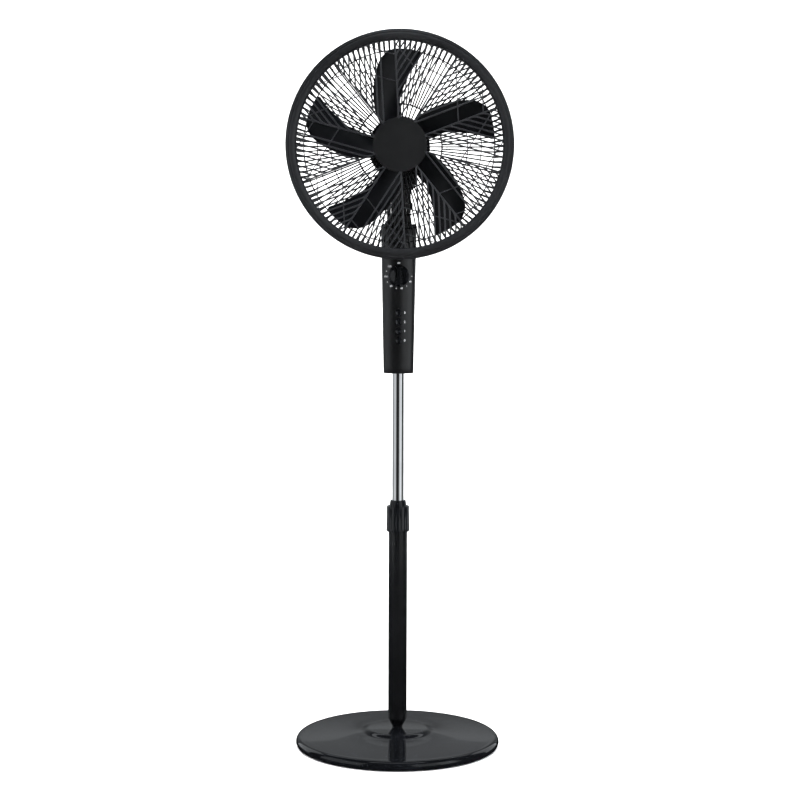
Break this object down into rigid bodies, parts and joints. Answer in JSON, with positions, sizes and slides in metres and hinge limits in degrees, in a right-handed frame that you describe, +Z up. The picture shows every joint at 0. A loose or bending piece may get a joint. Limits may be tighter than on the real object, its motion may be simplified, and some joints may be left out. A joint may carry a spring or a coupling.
{
  "type": "pedestal fan",
  "caption": "Free-standing fan: a round weighted base, a telescopic tube column with lock collar, a control box, and a tilting, swinging motor head with a caged bladed fan.",
  "frame": {"origin": "centre of the round base, on the floor", "axes": "+Z up the column; the fan blows towards -Y; +X is to the right for someone looking at the front"},
  "size_m": [0.44, 0.418, 1.4416],
  "materials": {
    "black_plastic": "moulded, polished",
    "satin_black": "moulded, fine satin",
    "black_enamel": "stoved gloss enamel",
    "chrome": "bright plated",
    "plated_steel": "zinc plated",
    "ballast": "as cast",
    "rubber": "matt",
    "white_plastic": "natural",
    "inner_plastic": "glass filled",
    "cast_alloy": "die cast",
    "copper": "lacquered wire",
    "bronze": "sintered",
    "core_steel": "laminated"
  },
  "bodies": {
    "stand": {"base_cover": "black_plastic", "ballast_plate": "ballast", "rubber_feet": "rubber", "cover_screws": "plated_steel", "lower_tube": "black_enamel", "tube_plug": "black_enamel", "base_washer": "plated_steel", "base_nut": "plated_steel", "collet": "satin_black"},
    "collar": {"lock_collar": "satin_black"},
    "column": {"sliding_tube": "chrome", "stop_bush": "white_plastic", "neck_core": "inner_plastic", "box_front_shell": "black_plastic", "box_rear_shell": "black_plastic", "box_screws": "plated_steel", "tube_clamp_screw": "plated_steel", "switch_block": "white_plastic", "timer_body": "white_plastic", "capacitor": "inner_plastic", "cable_gland": "rubber", "tilt_bolt": "plated_steel", "tilt_nut": "plated_steel", "button_springs": "plated_steel"},
    "knob": {"timer_knob": "black_plastic"},
    "key_0": {"button_0": "black_plastic"},
    "key_1": {"button_1": "black_plastic"},
    "key_2": {"button_2": "black_plastic"},
    "key_3": {"button_3": "black_plastic"},
    "yoke": {"tilt_yoke": "satin_black", "post_grub_screw": "plated_steel"},
    "head": {"head_bracket": "satin_black", "motor_front_casing": "satin_black", "motor_rear_cover": "satin_black", "cover_nut": "plated_steel", "front_shield": "cast_alloy", "rear_shield": "cast_alloy", "bearings": "bronze", "stator_core": "core_steel", "windings": "copper", "gearbox_frame": "cast_alloy", "rear_guard_spider": "satin_black", "rear_guard_grid": "black_enamel", "rear_guard_bars": "black_enamel", "rear_guard_hoop": "black_enamel", "guard_nut": "satin_black", "guard_band": "satin_black", "front_grille": "satin_black", "centre_cap": "satin_black", "guard_clips": "satin_black"},
    "rotor": {"motor_shaft": "plated_steel", "rotor_core": "core_steel", "drive_pin": "plated_steel", "fan_blade": "black_plastic", "blade_nut": "satin_black"},
    "wheel": {"worm_wheel": "white_plastic"},
    "spindle": {"clutch_spindle": "plated_steel"},
    "clutch": {"clutch_knob": "black_plastic"},
    "crank": {"crank_gear": "white_plastic"},
    "link": {"crank_link": "plated_steel"}
  },
  "joints": [
    {"name": "collar_turn", "type": "hinge", "parent": "stand", "child": "collar", "pos_m": [0, 0, 0.4646], "axis": [0, 0, 1], "range_deg": [0, 180]},
    {"name": "column_slide", "type": "slide", "parent": "stand", "child": "column", "axis": [0, 0, 1], "range_m": [-0.25, 0]},
    {"name": "timer_turn", "type": "hinge", "parent": "column", "child": "knob", "pos_m": [0, -0.034, 0.9666], "axis": [0, 1, 0], "range_deg": [0, 300]},
    {"name": "press_0", "type": "slide", "parent": "column", "child": "key_0", "axis": [0, 1, 0], "range_m": [0, 0.003], "stiffness_N_per_m": 400, "springref_m": -0.002, "deforming": ["button_springs"]},
    {"name": "press_1", "type": "slide", "parent": "column", "child": "key_1", "axis": [0, 1, 0], "range_m": [0, 0.003], "stiffness_N_per_m": 400, "springref_m": -0.002, "deforming": ["button_springs"]},
    {"name": "press_2", "type": "slide", "parent": "column", "child": "key_2", "axis": [0, 1, 0], "range_m": [0, 0.003], "stiffness_N_per_m": 400, "springref_m": -0.002, "deforming": ["button_springs"]},
    {"name": "press_3", "type": "slide", "parent": "column", "child": "key_3", "axis": [0, 1, 0], "range_m": [0, 0.003], "stiffness_N_per_m": 400, "springref_m": -0.002, "deforming": ["button_springs"]},
    {"name": "tilt", "type": "hinge", "parent": "column", "child": "yoke", "pos_m": [0, 0, 1.1046], "axis": [-1, 0, 0], "range_deg": [-12, 22]},
    {"name": "swing", "type": "hinge", "parent": "yoke", "child": "head", "pos_m": [0, 0, 1.1416], "axis": [0, 0, 1], "range_deg": [-39, 39]},
    {"name": "fan_spin", "type": "hinge", "parent": "head", "child": "rotor", "pos_m": [0, -0.06, 1.2216], "axis": [0, -1, 0], "continuous": true},
    {"name": "wheel_turn", "type": "hinge", "parent": "head", "child": "wheel", "pos_m": [-0.0201, 0.055, 1.2216], "axis": [0, 0, 1], "continuous": true},
    {"name": "spindle_turn", "type": "hinge", "parent": "head", "child": "spindle", "pos_m": [-0.0201, 0.055, 1.1916], "axis": [0, 0, 1], "range_deg": [-420, 420]},
    {"name": "clutch_pull", "type": "slide", "parent": "head", "child": "clutch", "axis": [0, 0, 1], "range_m": [0, 0.008]},
    {"name": "crank_turn", "type": "hinge", "parent": "head", "child": "crank", "pos_m": [0, 0.062, 1.1716], "axis": [0, 0, 1], "range_deg": [-95, 95]},
    {"name": "link_turn", "type": "hinge", "parent": "crank", "child": "link", "pos_m": [0.0129, 0.06364, 1.1616], "axis": [0, 0, 1], "range_deg": [-100, 100]}
  ],
  "couplings": [
    {"joint": "wheel_turn", "follows": "fan_spin", "ratio": 0.027778},
    {"joint": "crank_turn", "follows": "swing", "ratio": 2.259},
    {"joint": "spindle_turn", "follows": "swing", "ratio": -9.7137},
    {"joint": "link_turn", "follows": "swing", "ratio": -2.359}
  ]
}
